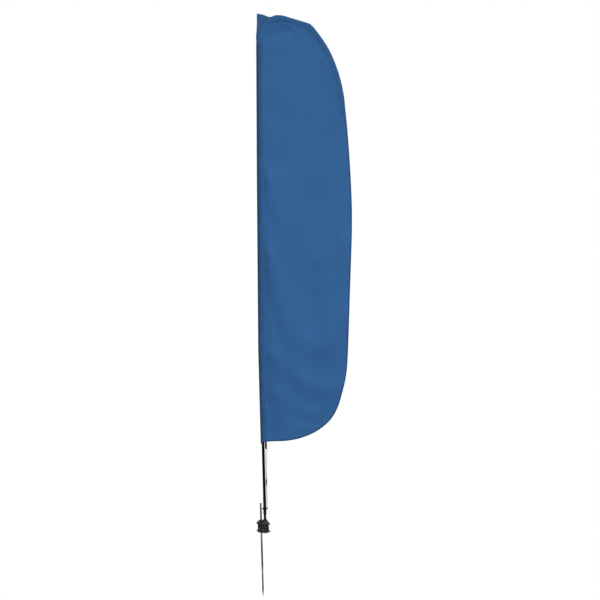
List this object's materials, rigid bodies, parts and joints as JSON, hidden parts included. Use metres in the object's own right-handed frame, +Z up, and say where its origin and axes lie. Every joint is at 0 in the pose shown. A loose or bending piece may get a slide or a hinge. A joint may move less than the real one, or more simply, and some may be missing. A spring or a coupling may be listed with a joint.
{
  "type": "feather flag",
  "caption": "Tall sail banner on a sectional pole that turns on a spindle in a moulded hub, held by a ground spike, with an elastic tether.",
  "frame": {"origin": "on the spike's axis at ground level, which is the underside of the hub", "axes": "+Z up along the spike and the pole, +X along the banner from the pole to the free edge, the banner lies in an XZ plane"},
  "size_m": [0.5614, 0.0616, 3.148],
  "materials": {
    "zinc_steel": "bright zinc plate, dulled along the shaft",
    "spring_steel": "plain spring steel",
    "screw_steel": "bright zinc plate",
    "hub_moulding": "black glass-filled nylon, fine mould texture",
    "bush_plastic": "black acetal",
    "black_steel": "black oxide, dull",
    "black_plastic": "black moulded nylon",
    "pole_black": "black glass-fibre tube, satin",
    "ferrule_black": "black coated aluminium",
    "whip_rod": "black glass-fibre rod, satin",
    "banner_cloth": "blue knitted polyester, fine weave",
    "sleeve_cloth": "doubled blue polyester, topstitched",
    "hem_cloth": "doubled blue hem, topstitched",
    "webbing": "black polyester webbing, ribbed",
    "elastic_cord": "greyed white braided elastic",
    "lock_white": "white acetal",
    "lock_grey": "grey acetal"
  },
  "bodies": {
    "ground_base": {"ground_spike": "zinc_steel", "spike_clip": "spring_steel", "hub_body": "hub_moulding", "spike_screws": "screw_steel", "bush_screws": "screw_steel", "upper_bush": "bush_plastic", "lower_bush": "bush_plastic", "thrust_washer": "black_plastic", "bottom_plug": "hub_moulding"},
    "spindle_unit": {"spindle": "black_steel", "spindle_clip": "spring_steel"},
    "flag": {"pole_foot": "black_plastic", "pole_lower": "pole_black", "ferrule_lower": "ferrule_black", "pole_middle": "pole_black", "ferrule_upper": "ferrule_black", "pole_upper": "pole_black", "whip_ferrule": "ferrule_black", "whip": "whip_rod", "whip_tip": "black_plastic", "banner_panel": "banner_cloth", "banner_sleeve": "sleeve_cloth", "whip_pocket": "sleeve_cloth", "corner_patch": "sleeve_cloth", "banner_hem": "hem_cloth", "tether_tab": "webbing", "tether_cord": "elastic_cord"},
    "collar": {"tether_collar": "black_plastic", "collar_screw": "screw_steel"},
    "cord_lock": {"lock_barrel": "lock_white", "lock_spring": "spring_steel"},
    "button": {"lock_button": "lock_grey"}
  },
  "joints": [
    {"name": "flag_spin", "type": "hinge", "parent": "ground_base", "child": "spindle_unit", "pos_m": [0.02206, -0.01724, 0], "axis": [0, 0, 1], "continuous": true},
    {"name": "pole_lift", "type": "slide", "parent": "spindle_unit", "child": "flag", "axis": [0, 0, 1], "range_m": [0, 0.1]},
    {"name": "collar_slide", "type": "slide", "parent": "flag", "child": "collar", "axis": [0, 0, 1], "range_m": [0, 0.03], "deforming": ["tether_cord"]},
    {"name": "lock_slide", "type": "slide", "parent": "flag", "child": "cord_lock", "axis": [0, 0, -1], "range_m": [0, 0.02]},
    {"name": "button_press", "type": "slide", "parent": "cord_lock", "child": "button", "axis": [-1, 0, 0], "range_m": [0, 0.0015], "stiffness_N_per_m": 800, "springref_m": -0.0015, "deforming": ["lock_spring"]}
  ]
}
